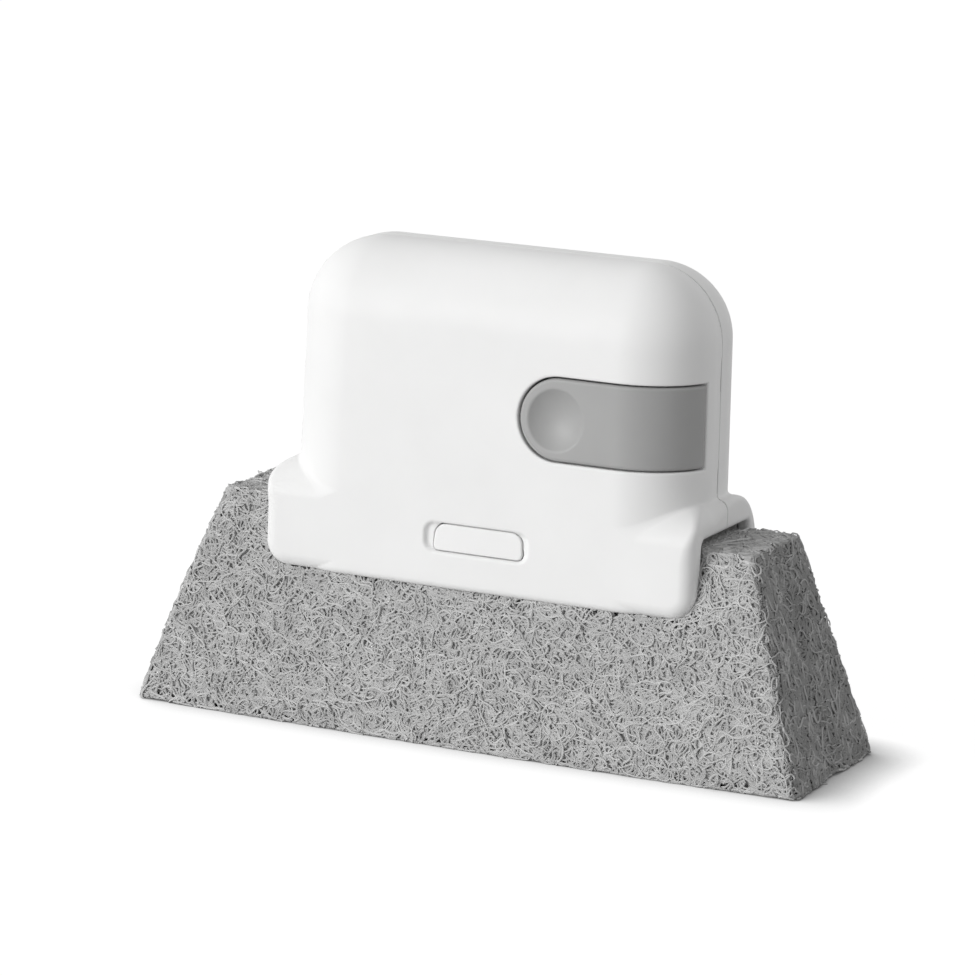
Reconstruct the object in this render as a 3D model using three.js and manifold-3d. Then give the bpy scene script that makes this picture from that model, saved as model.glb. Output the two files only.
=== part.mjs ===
// Window track brush: a two-shell white handle over a tapered fibre scouring pad.
// A grey thumb lever on the front face drives a latch slide, whose tab shows in the lower window.
// Pressing the lever pushes a leaf catch off its sill, and the pad pulls out downwards in its holder.
// Millimetres, +Z up, front at -Y, origin at the centre of the pad's underside.
import * as THREE from "three";
import { mergeVertices } from "three/addons/utils/BufferGeometryUtils.js";
import Module from "manifold-3d";

const wasm = await Module();
wasm.setup();

// Fits.
const CLEAR = 0.3;
const LEVER_GAP = 0.35;
const LEVER_TIP_GAP = 0.5;
const TAB_GAP = 0.3;
const PARTING_GAP = 0.3;

// Scouring pad: a block that tapers upwards on all four sides.
const PAD_LENGTH = 130.5;
const PAD_TOP_LENGTH = 103.3;
const PAD_DEPTH = 38.6;
const PAD_TOP_DEPTH = 21.8;
const PAD_HEIGHT = 41.2;
const PAD_CORNER = 1.5;
const PAD_NECK_FLARE = 2;
const PAD_NECK_BULGE = 1.5;

// Handle body: rounded on its upright and upper edges, with a moulding draft in degrees on its ends.
const BODY_LENGTH = 79.5;
const BODY_DEPTH = 31.6;
const BODY_TOP = 88.2;
const BODY_ROUND = 13.5;
const BODY_WALL = 2.3;
const BODY_DRAFT = 1;
const ROUND_STEPS = 9;

// Flange: the channel that grips the pad.
const FLANGE_LENGTH = 84.2;
const FLANGE_BOTTOM = 27.8;
const FLANGE_TOP = 48.1;
const FLANGE_SHOULDER = 6.5;
const FLANGE_CORNER = 5;
const FLANGE_END_ROUND = 1.6;
const FLANGE_EDGE = 1.4;
const FLANGE_FILLET = 1.2;
const FLANGE_WALL = 3;
const LIP_WALL = 4.6;
const LIP_LENGTH = 2.3;
const LIP_ROOF = PAD_HEIGHT + 0.5;

// Pad holder: an upturned U of sheet plastic with biting ridges and prongs.
const HOLDER_WALL = 1.6;
const HOLDER_FLAP = 11.7;
const HOLDER_ROOF = 1.7;
const RIDGE_BITE = 0.8;
const RIDGE_HEIGHT = 2;
const RIDGE_PITCH = 4.5;
const PRONG_RADIUS = 1.3;
const PRONG_TIP = 0.4;
const PRONG_REACH = 8;
const PRONG_SPREAD = [-32, -20, 20, 32];

// Thumb lever on the front right, wrapped round the corner.
const LEVER_HEIGHT = 14.8;
const LEVER_CENTRE_Z = 61;
const LEVER_TIP_X = 8.1;
const LEVER_WALL = 2;
const LEVER_END_Y = -5.5;
const DIMPLE_X = 15;
const DIMPLE_Z = LEVER_CENTRE_Z - 0.1;
const DIMPLE_WIDTH = 11.2;
const DIMPLE_DEPTH = 1.6;
const PIVOT_INSET = 8.25;
const PIVOT_X = BODY_LENGTH / 2 - PIVOT_INSET;
const PIVOT_Y = -11;
const PIN_RADIUS = 1;
const BARREL_WALL = 1.1;
const NUB_X = 12;
const NUB_WIDTH = 2;
const NUB_HEIGHT = 4;

// Latch slide behind the front wall, with the tab in the window.
const TAB_X = 0.75;
const TAB_WIDTH = 17.6;
const TAB_HEIGHT = 4.9;
const TAB_CENTRE_Z = 37.2;
const TAB_CORNER = 1.5;
const TAB_EDGE = 0.35;
const TAB_SUNK = 0.5;
const TAB_LEAN = 0.6;
const TAB_TAPER = 0.05;
const SCOOP_WIDTH = 20;
const SCOOP_HEIGHT = 5.8;
const SCOOP_DEPTH = 0.8;
const SLIDE_WALL = 1.4;
const SLIDE_WIDTH = 19.4;
const SLIDE_TRAVEL = 1.6;
const SLIDE_SHOULDER_Z = 52.8;
const SLIDE_TOP = 61.8;
const SLIDE_ARM_LEFT = 3;
const SLIDE_ARM_RIGHT = 16;

// Leaf catch on the holder.
const LEAF_WALL = 0.6;
const LEAF_WIDTH = 11;
const LEAF_FOOT_Z = 32.7;
const LEAF_TOE = 0.9;
const LEAF_TOE_HEIGHT = 1;
const LEAF_TAIL_Y = -4;

// Return springs of the slide.
const SPRING_SPREAD = 7;
const SPRING_Z = 49.4;
const SPRING_RADIUS = 1.9;
const SPRING_WIRE = 0.3;
const SPRING_TURNS = 5.5;
const SPRING_SEAT_Y = -5;
const SEAT_WALL = 1.6;
const STUB_LENGTH = 1.6;

// Screws from the rear shell into the front shell.
const SCREW_PLACES = [
  [-28, 77.8],
  [25, 77.8],
  [-29, 50.8],
  [23.5, 50.4],
];
const SCREW_RADIUS = 1.3;
const SCREW_HEAD_RADIUS = 2.6;
const SCREW_HEAD = 1.8;
const SCREW_SEAT_Y = 9.5;
const SCREW_TIP_Y = -9;
const SCREW_SLOT = 0.7;
const BOSS_RADIUS = 3.1;

// Places that follow from the sizes above.
const FRONT = -BODY_DEPTH / 2;
const POCKET_HALF = BODY_DEPTH / 2 - FLANGE_WALL;
const POCKET_LENGTH = FLANGE_LENGTH - 2 * LIP_LENGTH;
const LIP_HALF = BODY_DEPTH / 2 - LIP_WALL;
const HOLDER_HALF = POCKET_HALF - CLEAR;
const HOLDER_LENGTH = POCKET_LENGTH - 2 * CLEAR;
const HOLDER_UNDER = PAD_HEIGHT + CLEAR;
const HOLDER_TOP = HOLDER_UNDER + HOLDER_ROOF;
const HOLDER_BOTTOM = HOLDER_UNDER - HOLDER_FLAP;
const NECK_HALF = HOLDER_HALF - HOLDER_WALL - CLEAR;
const ROOF_UNDER = HOLDER_TOP + CLEAR;
const ROOF_TOP = ROOF_UNDER + BODY_WALL;
const INNER_FRONT = FRONT + BODY_WALL;
const SLIDE_FRONT = INNER_FRONT + CLEAR;
const SLIDE_BACK = SLIDE_FRONT + SLIDE_WALL;
const SLIDE_REACH = SLIDE_BACK + SLIDE_TRAVEL + CLEAR;
const SLIDE_BOTTOM = TAB_CENTRE_Z - TAB_HEIGHT / 2 - TAB_GAP - CLEAR;
const LEAF_FRONT = SLIDE_BACK + CLEAR;
const SILL_Z = LEAF_FOOT_Z - CLEAR;
const LEVER_BACK = FRONT + LEVER_WALL;
const STUB_RADIUS = SPRING_RADIUS - SPRING_WIRE - CLEAR;
const BARREL_RADIUS = PIN_RADIUS + CLEAR + BARREL_WALL;
const BARREL_HALF = LEVER_HEIGHT / 2 - LEVER_GAP;
const EYE_HEIGHT = 4.6;

// A closed three.js geometry as a solid.
function solid(geometry) {
  const bare = geometry.index ? geometry.toNonIndexed() : geometry.clone();
  bare.deleteAttribute("normal");
  bare.deleteAttribute("uv");
  const merged = mergeVertices(bare, 1e-4);
  return new wasm.Manifold(
    new wasm.Mesh({
      numProp: 3,
      vertProperties: new Float32Array(merged.attributes.position.array),
      triVerts: new Uint32Array(merged.index.array),
    }),
  );
}

function block(x0, x1, y0, y1, z0, z1) {
  const box = new THREE.BoxGeometry(x1 - x0, y1 - y0, z1 - z0);
  box.translate((x0 + x1) / 2, (y0 + y1) / 2, (z0 + z1) / 2);
  return solid(box);
}

// A round bar standing on z0, from a lower to an upper radius.
function post(x, y, z0, z1, lower, upper, sides) {
  const bar = new THREE.CylinderGeometry(upper, lower, z1 - z0, sides);
  bar.rotateX(Math.PI / 2);
  bar.translate(x, y, (z0 + z1) / 2);
  return solid(bar);
}

// A round bar lying front to back.
function bar(x, z, y0, y1, radius, sides) {
  const rod = new THREE.CylinderGeometry(radius, radius, y1 - y0, sides);
  rod.translate(x, (y0 + y1) / 2, z);
  return solid(rod);
}

// Corner points of a rounded rectangle about (cx, cy).
function rounded(cx, cy, halfX, halfY, radius, steps) {
  const points = [];
  const corners = [
    [1, 1, 0],
    [-1, 1, 90],
    [-1, -1, 180],
    [1, -1, 270],
  ];
  for (const [sx, sy, start] of corners) {
    for (let i = 0; i <= steps; i++) {
      const a = THREE.MathUtils.degToRad(start + (90 * i) / steps);
      const x = cx + sx * (halfX - radius) + radius * Math.cos(a);
      const y = cy + sy * (halfY - radius) + radius * Math.sin(a);
      points.push(new THREE.Vector2(x, y));
    }
  }
  return points;
}

// A front-view outline in X and Z, given thickness from y0 to y1.
function sheetOf(points, y0, y1, edge, steps) {
  const options = { depth: y1 - y0 - 2 * edge, bevelEnabled: edge > 0 };
  options.bevelThickness = edge;
  options.bevelSize = edge;
  options.bevelOffset = -edge;
  options.bevelSegments = steps;
  const sheet = new THREE.ExtrudeGeometry(new THREE.Shape(points), options);
  sheet.rotateX(Math.PI / 2);
  sheet.translate(0, y1 - edge, 0);
  return sheet;
}

function plate(points, y0, y1, edge = 0, steps = 1) {
  return solid(sheetOf(points, y0, y1, edge, steps));
}

// A section in Y and Z, run along X from x0 to x1.
function run(points, x0, x1) {
  const sheet = new THREE.ExtrudeGeometry(new THREE.Shape(points), { depth: x1 - x0, bevelEnabled: false });
  sheet.rotateX(Math.PI / 2);
  sheet.rotateZ(Math.PI / 2);
  sheet.translate(x0, 0, 0);
  return solid(sheet);
}

// A plan outline raised from z0 to z1.
function tower(points, z0, z1) {
  const sheet = new THREE.ExtrudeGeometry(new THREE.Shape(points), { depth: z1 - z0, bevelEnabled: false });
  sheet.translate(0, 0, z0);
  return solid(sheet);
}

// A skin over closed rings of equal count, with the first and last ring capped about their middles.
function loft(rings) {
  const count = rings[0].length;
  const vertices = [];
  const faces = [];
  for (const ring of rings) {
    for (const p of ring) vertices.push(p.x, p.y, p.z);
  }
  for (let r = 0; r + 1 < rings.length; r++) {
    for (let i = 0; i < count; i++) {
      const j = (i + 1) % count;
      const a = r * count + i;
      const b = r * count + j;
      faces.push(a, b, b + count, a, b + count, a + count);
    }
  }
  const ends = [
    [0, false],
    [rings.length - 1, true],
  ];
  for (const [r, up] of ends) {
    const middle = new THREE.Vector3();
    for (const p of rings[r]) middle.addScaledVector(p, 1 / count);
    const hub = vertices.length / 3;
    vertices.push(middle.x, middle.y, middle.z);
    for (let i = 0; i < count; i++) {
      const a = r * count + i;
      const b = r * count + ((i + 1) % count);
      if (up) faces.push(hub, a, b);
      else faces.push(hub, b, a);
    }
  }
  const skin = new THREE.BufferGeometry();
  skin.setAttribute("position", new THREE.Float32BufferAttribute(vertices, 3));
  skin.setIndex(faces);
  return solid(skin);
}

function ringAt(points, z) {
  return points.map((p) => new THREE.Vector3(p.x, p.y, z));
}

function joined(...solids) {
  return wasm.Manifold.union(solids);
}

// How far the body's ends stand out at z, from nothing at the lever's height.
function draftAt(z) {
  return (LEVER_CENTRE_Z - z) * Math.tan(THREE.MathUtils.degToRad(BODY_DRAFT));
}

// The handle body drawn in by inset all round, standing on z0.
function bodyForm(inset, z0) {
  const halfX = BODY_LENGTH / 2 - inset;
  const halfY = BODY_DEPTH / 2 - inset;
  const radius = BODY_ROUND - inset;
  const top = BODY_TOP - inset;
  const rings = [ringAt(rounded(0, 0, halfX + draftAt(z0), halfY, radius, ROUND_STEPS), z0)];
  const last = THREE.MathUtils.degToRad(85);
  for (let i = 0; i <= ROUND_STEPS; i++) {
    const a = (last * i) / ROUND_STEPS;
    const draw = radius * (1 - Math.cos(a));
    const z = top - radius + (radius * Math.sin(a)) / Math.sin(last);
    rings.push(ringAt(rounded(0, 0, halfX + draftAt(z) - draw, halfY - draw, radius - draw, ROUND_STEPS), z));
  }
  return loft(rings);
}

function flangeForm() {
  const middle = (FLANGE_BOTTOM + FLANGE_TOP) / 2;
  const halfHeight = (FLANGE_TOP - FLANGE_BOTTOM) / 2;
  const halfX = FLANGE_LENGTH / 2;
  const halfY = BODY_DEPTH / 2;
  const face = plate(rounded(0, middle, halfX, halfHeight, FLANGE_CORNER, 6), -halfY, halfY, FLANGE_EDGE, 3);
  const plan = tower(rounded(0, 0, halfX, halfY, FLANGE_END_ROUND, 5), FLANGE_BOTTOM - 1, FLANGE_TOP + 1);
  const arch = rounded(0, FLANGE_TOP - BODY_DEPTH / 2, halfY, halfY, FLANGE_SHOULDER, 8);
  const across = run(arch, -halfX - 1, halfX + 1);
  return face.intersect(plan).intersect(across);
}

// Height of the flange's rounded upper side at x and y.
function flangeTopAt(x, y) {
  const drop = (past, radius) => (past > 0 ? radius - Math.sqrt(Math.max(0, radius ** 2 - past ** 2)) : 0);
  const endDrop = drop(Math.abs(x) - FLANGE_LENGTH / 2 + FLANGE_CORNER, FLANGE_CORNER);
  return FLANGE_TOP - endDrop - drop(Math.abs(y) - BODY_DEPTH / 2 + FLANGE_SHOULDER, FLANGE_SHOULDER);
}

// Hollow fillet round the body's foot, where it runs out into the flange's upper side.
function footFillet() {
  const halfX = BODY_LENGTH / 2 + draftAt(FLANGE_TOP);
  const halfY = BODY_DEPTH / 2;
  const foot = rounded(0, 0, halfX, halfY, BODY_ROUND, ROUND_STEPS);
  const grown = rounded(0, 0, halfX + 1, halfY + 1, BODY_ROUND + 1, ROUND_STEPS);
  const rings = [];
  for (const degrees of [-30, 0, 18, 36, 54, 72, 90]) {
    const a = THREE.MathUtils.degToRad(Math.max(0, degrees));
    const out = FLANGE_FILLET * (1 - Math.sin(a));
    const rise = degrees < 0 ? -FLANGE_FILLET : FLANGE_FILLET * (1 - Math.cos(a));
    rings.push(
      foot.map((p, i) => {
        const x = THREE.MathUtils.lerp(p.x, grown[i].x, out);
        const y = THREE.MathUtils.lerp(p.y, grown[i].y, out);
        return new THREE.Vector3(x, y, flangeTopAt(x, y) + rise);
      }),
    );
  }
  const within = block(-PAD_LENGTH, PAD_LENGTH, -halfY, halfY, 0, BODY_TOP);
  return loft(rings).intersect(within);
}

// The lever's outline seen from the front, grown by a gap.
function leverOutline(gap, tipGap) {
  const half = LEVER_HEIGHT / 2 + gap;
  const tipX = LEVER_TIP_X - tipGap;
  const points = [];
  for (let i = 0; i <= 16; i++) {
    const a = THREE.MathUtils.degToRad(90 + (180 * i) / 16);
    points.push(new THREE.Vector2(tipX + half + half * Math.cos(a), LEVER_CENTRE_Z + half * Math.sin(a)));
  }
  points.push(new THREE.Vector2(BODY_LENGTH, LEVER_CENTRE_Z - half));
  points.push(new THREE.Vector2(BODY_LENGTH, LEVER_CENTRE_Z + half));
  return points;
}

function planOutline(inset) {
  return rounded(0, 0, BODY_LENGTH / 2 - inset, BODY_DEPTH / 2 - inset, BODY_ROUND - inset, 14);
}

function buildLever() {
  const low = LEVER_CENTRE_Z - LEVER_HEIGHT;
  const high = LEVER_CENTRE_Z + LEVER_HEIGHT;
  const skin = tower(planOutline(0), low, high).subtract(tower(planOutline(LEVER_WALL), low - 1, high + 1));
  const reach = plate(leverOutline(0, 0), -BODY_DEPTH, LEVER_END_Y);
  const ball = (DIMPLE_WIDTH ** 2 / 4 + DIMPLE_DEPTH ** 2) / (2 * DIMPLE_DEPTH);
  const dish = new THREE.SphereGeometry(ball, 64, 48);
  dish.rotateX(Math.PI / 2);
  dish.translate(DIMPLE_X, FRONT - ball + DIMPLE_DEPTH, DIMPLE_Z);
  const nubLeft = NUB_X - NUB_WIDTH / 2;
  const nubLow = LEVER_CENTRE_Z - NUB_HEIGHT - 1;
  const nubHigh = nubLow + NUB_HEIGHT;
  const nub = block(nubLeft, nubLeft + NUB_WIDTH, LEVER_BACK - 0.5, LEVER_BACK + CLEAR, nubLow, nubHigh);
  const z0 = LEVER_CENTRE_Z - BARREL_HALF;
  const z1 = LEVER_CENTRE_Z + BARREL_HALF;
  const barrel = post(PIVOT_X, PIVOT_Y, z0, z1, BARREL_RADIUS, BARREL_RADIUS, 24);
  const bore = post(PIVOT_X, PIVOT_Y, z0 - 1, z1 + 1, PIN_RADIUS + CLEAR, PIN_RADIUS + CLEAR, 24);
  return joined(skin.intersect(reach), barrel, nub).subtract(joined(solid(dish), bore));
}

// The tab's front view about its own middle, narrower towards the top, grown by a gap.
function tabOutline(gap) {
  const square = rounded(0, 0, TAB_WIDTH / 2 + gap, TAB_HEIGHT / 2 + gap, TAB_CORNER + gap, 4);
  return square.map((p) => new THREE.Vector2(p.x * (1 - TAB_TAPER * (0.5 + p.y / TAB_HEIGHT)), p.y));
}

// The tab leans inwards towards its top, so that its lower edge stands nearly flush.
function buildTab() {
  const middle = FRONT + TAB_SUNK + TAB_LEAN / 2;
  const sheet = sheetOf(tabOutline(0), 0, SLIDE_BACK - middle, TAB_EDGE, 2);
  sheet.applyMatrix4(new THREE.Matrix4().makeShear(0, 0, 0, 0, 0, TAB_LEAN / TAB_HEIGHT));
  sheet.translate(TAB_X, middle, TAB_CENTRE_Z);
  const inWeb = SLIDE_BACK - CLEAR;
  return solid(sheet).intersect(block(-SLIDE_WIDTH, SLIDE_WIDTH, -BODY_DEPTH, inWeb, 0, BODY_TOP));
}

function buildSlide() {
  const left = TAB_X - SLIDE_WIDTH / 2;
  const right = TAB_X + SLIDE_WIDTH / 2;
  const web = [
    new THREE.Vector2(left, SLIDE_BOTTOM),
    new THREE.Vector2(right, SLIDE_BOTTOM),
    new THREE.Vector2(right, SLIDE_SHOULDER_Z - 3),
    new THREE.Vector2(SLIDE_ARM_RIGHT, SLIDE_SHOULDER_Z),
    new THREE.Vector2(SLIDE_ARM_RIGHT, SLIDE_TOP),
    new THREE.Vector2(SLIDE_ARM_LEFT, SLIDE_TOP),
    new THREE.Vector2(SLIDE_ARM_LEFT, SLIDE_SHOULDER_Z),
    new THREE.Vector2(left, SLIDE_SHOULDER_Z),
  ];
  const pieces = [plate(web, SLIDE_FRONT, SLIDE_BACK), buildTab()];
  for (const side of [-1, 1]) {
    const x = TAB_X + side * SPRING_SPREAD;
    pieces.push(bar(x, SPRING_Z, SLIDE_BACK - 0.5, SLIDE_BACK + STUB_LENGTH, STUB_RADIUS, 12));
  }
  return joined(...pieces);
}

function buildFrontShell(outer) {
  const reachX = TAB_X + SLIDE_WIDTH / 2 + CLEAR;
  const groove = block(
    TAB_X - SLIDE_WIDTH / 2 - CLEAR,
    reachX,
    INNER_FRONT,
    SLIDE_REACH,
    SILL_Z,
    ROOF_TOP + 1,
  );
  const toeHalf = LEAF_WIDTH / 2 + CLEAR;
  const toeDeep = -POCKET_HALF - LEAF_TOE - CLEAR;
  const sillTop = LEAF_FOOT_Z + LEAF_TOE_HEIGHT + CLEAR;
  const sill = block(TAB_X - toeHalf, TAB_X + toeHalf, toeDeep, 0, SILL_Z, sillTop);
  const hole = sheetOf(tabOutline(TAB_GAP), FRONT - 1, 0, 0, 1);
  hole.translate(TAB_X, 0, TAB_CENTRE_Z);
  const scoop = rounded(TAB_X, TAB_CENTRE_Z, SCOOP_WIDTH / 2, SCOOP_HEIGHT / 2, 2.4, 5);
  const window = joined(
    solid(hole),
    plate(scoop, FRONT - SCOOP_DEPTH, FRONT + SCOOP_DEPTH, SCOOP_DEPTH * 0.95, 3),
  );
  const wrap = block(0, BODY_LENGTH, -BODY_DEPTH, LEVER_END_Y + LEVER_GAP, ROOF_TOP, BODY_TOP);
  const opening = plate(leverOutline(LEVER_GAP, LEVER_TIP_GAP), -BODY_DEPTH, 0).intersect(wrap);
  let shell = outer.subtract(joined(groove, sill, window, opening));

  const added = [];
  const core = bodyForm(BODY_WALL / 2, ROOF_TOP - 1);
  const eyes = [
    [LEVER_CENTRE_Z + LEVER_HEIGHT / 2 + LEVER_GAP, 1],
    [LEVER_CENTRE_Z - LEVER_HEIGHT / 2 - LEVER_GAP, -1],
  ];
  const bores = [];
  for (const [z, way] of eyes) {
    const z0 = Math.min(z, z + way * EYE_HEIGHT);
    const eye = post(PIVOT_X, PIVOT_Y, z0, z0 + EYE_HEIGHT, BARREL_RADIUS, BARREL_RADIUS, 24);
    added.push(eye.intersect(core));
  }
  const pinLow = eyes[1][0] - EYE_HEIGHT + 1;
  const eyeTop = eyes[0][0] + EYE_HEIGHT + 0.5;
  bores.push(post(PIVOT_X, PIVOT_Y, pinLow, eyeTop, PIN_RADIUS + CLEAR, PIN_RADIUS + CLEAR, 24));
  for (const [x, z] of SCREW_PLACES) {
    added.push(bar(x, z, FRONT, -PARTING_GAP / 2, BOSS_RADIUS, 24).intersect(core));
    bores.push(bar(x, z, SCREW_TIP_Y - CLEAR, 1, SCREW_RADIUS + CLEAR, 18));
  }
  const seatLeft = TAB_X - SLIDE_WIDTH / 2;
  const seat = block(
    seatLeft,
    seatLeft + SLIDE_WIDTH,
    SPRING_SEAT_Y,
    SPRING_SEAT_Y + SEAT_WALL,
    ROOF_TOP - 1,
    SLIDE_SHOULDER_Z,
  );
  added.push(seat);
  for (const side of [-1, 1]) {
    const x = TAB_X + side * SPRING_SPREAD;
    added.push(bar(x, SPRING_Z, SPRING_SEAT_Y - STUB_LENGTH, SPRING_SEAT_Y + 0.5, STUB_RADIUS, 12));
  }
  shell = joined(shell, ...added).subtract(joined(...bores));
  return shell;
}

function buildRearShell(outer) {
  const core = bodyForm(BODY_WALL / 2, ROOF_TOP - 1);
  const added = [];
  const bores = [];
  for (const [x, z] of SCREW_PLACES) {
    const tube = bar(x, z, PARTING_GAP / 2, BODY_DEPTH / 2, BOSS_RADIUS + CLEAR + 1, 28);
    added.push(tube.intersect(core));
    bores.push(bar(x, z, -1, SCREW_SEAT_Y + 1, SCREW_RADIUS + CLEAR, 18));
    bores.push(bar(x, z, SCREW_SEAT_Y, BODY_DEPTH, SCREW_HEAD_RADIUS + CLEAR, 28));
  }
  return joined(outer, ...added).subtract(joined(...bores));
}

function buildScrew(x, z) {
  const head = bar(x, z, SCREW_SEAT_Y + CLEAR, SCREW_SEAT_Y + CLEAR + SCREW_HEAD, SCREW_HEAD_RADIUS, 24);
  const shank = bar(x, z, SCREW_TIP_Y, SCREW_SEAT_Y + CLEAR + 0.5, SCREW_RADIUS, 14);
  const face = SCREW_SEAT_Y + CLEAR + SCREW_HEAD;
  const arm = SCREW_HEAD_RADIUS * 0.6;
  const half = SCREW_SLOT / 2;
  const cross = joined(
    block(x - arm, x + arm, face - 0.9, face + 1, z - half, z + half),
    block(x - half, x + half, face - 0.9, face + 1, z - arm, z + arm),
  );
  return joined(head, shank).subtract(cross);
}

function buildSpring(x) {
  const length = SPRING_SEAT_Y - SLIDE_BACK - 2 * CLEAR;
  const rings = [];
  const turns = SPRING_TURNS * 12;
  const run = length - 2 * SPRING_WIRE;
  for (let i = 0; i <= turns; i++) {
    const a = (2 * Math.PI * i) / 12;
    const y = SLIDE_BACK + CLEAR + SPRING_WIRE + (run * i) / turns;
    const ring = [];
    for (let k = 0; k < 5; k++) {
      const b = (2 * Math.PI * k) / 5;
      const r = SPRING_RADIUS + SPRING_WIRE * Math.cos(b);
      const z = SPRING_Z + r * Math.sin(a);
      ring.push(new THREE.Vector3(x + r * Math.cos(a), y + SPRING_WIRE * Math.sin(b), z));
    }
    rings.push(ring);
  }
  const coil = loft(rings);
  return coil.volume() > 0 ? coil : loft(rings.reverse());
}

// Room for the slide, the leaf catch and its bending, taken out of the holder's front and the pad.
function latchRoom(grow, back) {
  const half = SLIDE_WIDTH / 2 + grow;
  return block(TAB_X - half, TAB_X + half, -BODY_DEPTH, back, HOLDER_BOTTOM - 2, ROOF_UNDER);
}

function ridge(side, z, grow) {
  const face = HOLDER_HALF - HOLDER_WALL;
  const points = [
    new THREE.Vector2(side * (face + 0.5), z - RIDGE_HEIGHT / 2 - grow),
    new THREE.Vector2(side * (face - RIDGE_BITE - grow), z + RIDGE_HEIGHT / 2 - grow * 0.5),
    new THREE.Vector2(side * (face - RIDGE_BITE - grow), z + RIDGE_HEIGHT / 2 + grow),
    new THREE.Vector2(side * (face + 0.5), z + RIDGE_HEIGHT / 2 + grow),
  ];
  const half = HOLDER_LENGTH / 2 - 1 + grow;
  return run(points, -half, half);
}

function allRidges(grow) {
  const made = [];
  for (const side of [-1, 1]) {
    for (const row of [0, 1]) made.push(ridge(side, HOLDER_BOTTOM + 2 + row * RIDGE_PITCH, grow));
  }
  return joined(...made);
}

function prongs(grow) {
  const z0 = HOLDER_UNDER - PRONG_REACH - grow;
  return joined(
    ...PRONG_SPREAD.map((x) => post(x, 0, z0, HOLDER_UNDER + 0.5, PRONG_TIP + grow, PRONG_RADIUS + grow, 12)),
  );
}

function buildHolder() {
  const half = HOLDER_LENGTH / 2;
  const inner = HOLDER_HALF - HOLDER_WALL;
  const shell = block(-half, half, -HOLDER_HALF, HOLDER_HALF, HOLDER_BOTTOM, HOLDER_TOP);
  const hollow = block(-half - 1, half + 1, -inner, inner, HOLDER_BOTTOM - 1, HOLDER_UNDER);
  const frame = joined(shell.subtract(hollow), allRidges(0), prongs(0));
  return frame.subtract(latchRoom(CLEAR, SLIDE_REACH));
}

function buildLeaf() {
  const back = LEAF_FRONT + LEAF_WALL;
  const top = HOLDER_UNDER - CLEAR;
  const toe = -POCKET_HALF - LEAF_TOE;
  const points = [
    new THREE.Vector2(toe, LEAF_FOOT_Z),
    new THREE.Vector2(back, LEAF_FOOT_Z),
    new THREE.Vector2(back, top - LEAF_WALL),
    new THREE.Vector2(LEAF_TAIL_Y, top - LEAF_WALL),
    new THREE.Vector2(LEAF_TAIL_Y, top),
    new THREE.Vector2(LEAF_FRONT, top),
    new THREE.Vector2(LEAF_FRONT, LEAF_FOOT_Z + LEAF_TOE_HEIGHT),
    new THREE.Vector2(toe, LEAF_FOOT_Z + LEAF_TOE_HEIGHT * 0.4),
  ];
  return run(points, TAB_X - LEAF_WIDTH / 2, TAB_X + LEAF_WIDTH / 2);
}

function smooth(t) {
  const s = Math.min(1, Math.max(0, t));
  return s * s * (3 - 2 * s);
}

// Half depth of the pad at x and z: a straight taper, pinched where the flange grips it.
function padHalf(x, z) {
  const taper = PAD_DEPTH / 2 - ((PAD_DEPTH - PAD_TOP_DEPTH) / 2) * (z / PAD_HEIGHT);
  const gripTop = FLANGE_BOTTOM - CLEAR;
  const high = smooth((z - gripTop + PAD_NECK_BULGE) / PAD_NECK_BULGE);
  const along = 1 - smooth((Math.abs(x) - FLANGE_LENGTH / 2 - CLEAR) / PAD_NECK_FLARE);
  return THREE.MathUtils.lerp(taper, Math.min(taper, NECK_HALF), high * along);
}

function padRing(z) {
  const halfX = PAD_LENGTH / 2 - ((PAD_LENGTH - PAD_TOP_LENGTH) / 2) * (z / PAD_HEIGHT);
  const grip = FLANGE_LENGTH / 2 + CLEAR;
  const straight = halfX - PAD_CORNER;
  const ends = [0, 0.5, 1].map((t) => grip + t * PAD_NECK_FLARE);
  const stations = [-straight, ...ends.map((x) => -x).reverse(), ...ends, straight];
  const half = stations.map((x) => new THREE.Vector3(x, -padHalf(x, z), z));
  const endHalf = padHalf(straight, z) - PAD_CORNER;
  for (const [middle, start] of [
    [-endHalf, -60],
    [endHalf, 0],
  ]) {
    for (const turn of [0, 30, 60]) {
      const a = THREE.MathUtils.degToRad(start + turn);
      const x = straight + PAD_CORNER * Math.cos(a);
      half.push(new THREE.Vector3(x, middle + PAD_CORNER * Math.sin(a), z));
    }
  }
  const turned = half.map((p) => new THREE.Vector3(-p.x, -p.y, z));
  return [...half, ...turned];
}

function buildPad() {
  const gripTop = FLANGE_BOTTOM - CLEAR;
  const levels = [0, 8, 15, gripTop - PAD_NECK_BULGE];
  for (const t of [0.25, 0.5, 0.75, 1]) levels.push(gripTop - PAD_NECK_BULGE * (1 - t));
  levels.push((gripTop + PAD_HEIGHT) / 2, PAD_HEIGHT);
  const form = loft(levels.map(padRing));
  const bend = LEAF_FRONT + LEAF_WALL + SLIDE_TRAVEL;
  const leafHalf = LEAF_WIDTH / 2 + 2 * CLEAR;
  const leafTop = HOLDER_UNDER - CLEAR - LEAF_WALL - CLEAR;
  const slideHalf = SLIDE_WIDTH / 2 + CLEAR;
  const room = joined(
    block(TAB_X - leafHalf, TAB_X + leafHalf, -BODY_DEPTH, bend, LEAF_FOOT_Z - 1, HOLDER_UNDER),
    block(TAB_X - leafHalf, TAB_X + leafHalf, bend - 1, LEAF_TAIL_Y + CLEAR, leafTop, HOLDER_UNDER),
    block(TAB_X - slideHalf, TAB_X + slideHalf, -BODY_DEPTH, SLIDE_REACH, SLIDE_BOTTOM - 1, HOLDER_UNDER),
  );
  return form.subtract(joined(allRidges(CLEAR), prongs(CLEAR), room));
}

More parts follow.
